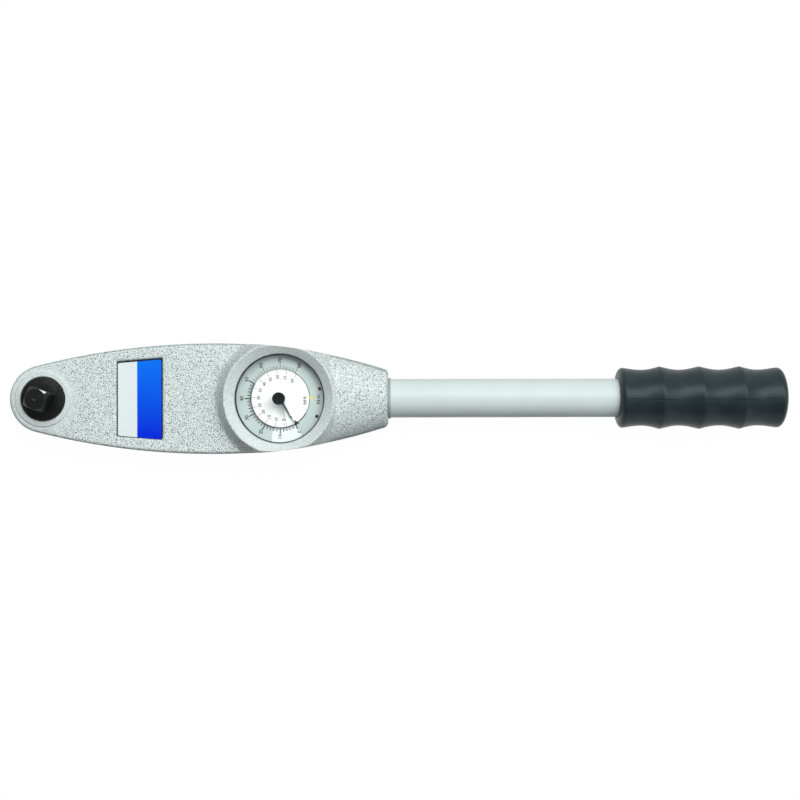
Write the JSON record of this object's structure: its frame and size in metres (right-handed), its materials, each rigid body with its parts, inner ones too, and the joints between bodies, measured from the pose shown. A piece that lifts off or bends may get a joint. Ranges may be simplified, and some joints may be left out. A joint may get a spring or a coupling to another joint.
{
  "type": "dial torque wrench",
  "caption": "Long hand wrench that shows torque on a round dial, with a square drive on a cast housing, a tubular handle and a grooved grip.",
  "frame": {"origin": "under the middle of the whole wrench, on the surface that its back cover lies on", "axes": "+X along the wrench from the square drive to the grip, +Y across it, +Z out of the dial"},
  "size_m": [0.4842, 0.0686, 0.044],
  "materials": {
    "hammered_silver": "hammered silver paint",
    "black_oxide": "black oxide, oiled",
    "mint_grey_paint": "satin paint",
    "black_plastic": "satin",
    "grip_plastic": "smooth moulded",
    "steel": "bright",
    "spring_steel": "tempered",
    "brass": "satin",
    "bronze": "sintered",
    "white_dial": "printed white paint",
    "clear_lens": "clear",
    "blue_plate": "printed blue and white",
    "grey_rubber": "matt"
  },
  "bodies": {
    "housing": {"housing_shell": "hammered_silver", "back_cover": "hammered_silver", "cover_screw_1": "steel", "cover_screw_2": "steel", "cover_screw_3": "steel", "cover_screw_4": "steel", "cover_screw_5": "steel", "cover_screw_6": "steel", "movement_screw_1": "steel", "movement_screw_2": "steel", "movement_screw_3": "steel", "anchor_screw_1": "steel", "anchor_screw_2": "steel", "dial_screw_1": "black_oxide", "dial_screw_2": "black_oxide", "front_bush": "bronze", "rear_bush": "bronze", "thrust_washer": "steel", "measuring_beam": "spring_steel", "anchor_block": "steel", "anchor_pin_1": "steel", "anchor_pin_2": "steel", "lower_plate": "brass", "upper_plate": "brass", "pillar_1": "brass", "pillar_2": "brass", "pillar_3": "brass", "pillar_4": "brass", "hairspring": "spring_steel", "spring_stud": "brass", "dial_plate": "white_dial", "dial_spacer": "black_plastic", "lens": "clear_lens", "bezel": "black_plastic", "knob_bush": "black_plastic", "name_plate": "blue_plate", "handle_tube": "mint_grey_paint", "tube_pin": "steel", "neck_ring": "grey_rubber", "grip": "grip_plastic"},
    "drive": {"drive_spindle": "black_oxide", "retaining_ring": "spring_steel", "drive_key": "steel", "drive_arm": "steel", "pickoff_pin": "steel"},
    "sector": {"sector_lever": "brass", "sector_arbor": "steel"},
    "main_pointer": {"pinion": "brass", "pointer_arbor": "steel", "pointer": "black_plastic", "pointer_hub": "black_plastic"},
    "memory": {"memory_pointer": "spring_steel", "reset_knob": "black_plastic"}
  },
  "joints": [
    {"name": "drive_turn", "type": "hinge", "parent": "housing", "child": "drive", "pos_m": [-0.2211, 0, 0.02], "axis": [0, 0, -1], "range_deg": [0, 2.86], "stiffness_Nm_per_rad": 2, "deforming": ["measuring_beam"]},
    {"name": "sector_turn", "type": "hinge", "parent": "housing", "child": "sector", "pos_m": [-0.107, 0, 0.018], "axis": [0, 0, 1], "range_deg": [0, 24]},
    {"name": "pointer_turn", "type": "hinge", "parent": "housing", "child": "main_pointer", "pos_m": [-0.074, 0, 0.02], "axis": [0, 0, -1], "range_deg": [0, 240], "deforming": ["hairspring"]},
    {"name": "memory_turn", "type": "hinge", "parent": "housing", "child": "memory", "pos_m": [-0.074, 0, 0.035], "axis": [0, 0, -1], "range_deg": [-13, 225]}
  ],
  "couplings": [
    {"joint": "sector_turn", "follows": "drive_turn", "ratio": 8.38},
    {"joint": "pointer_turn", "follows": "drive_turn", "ratio": 83.8}
  ]
}
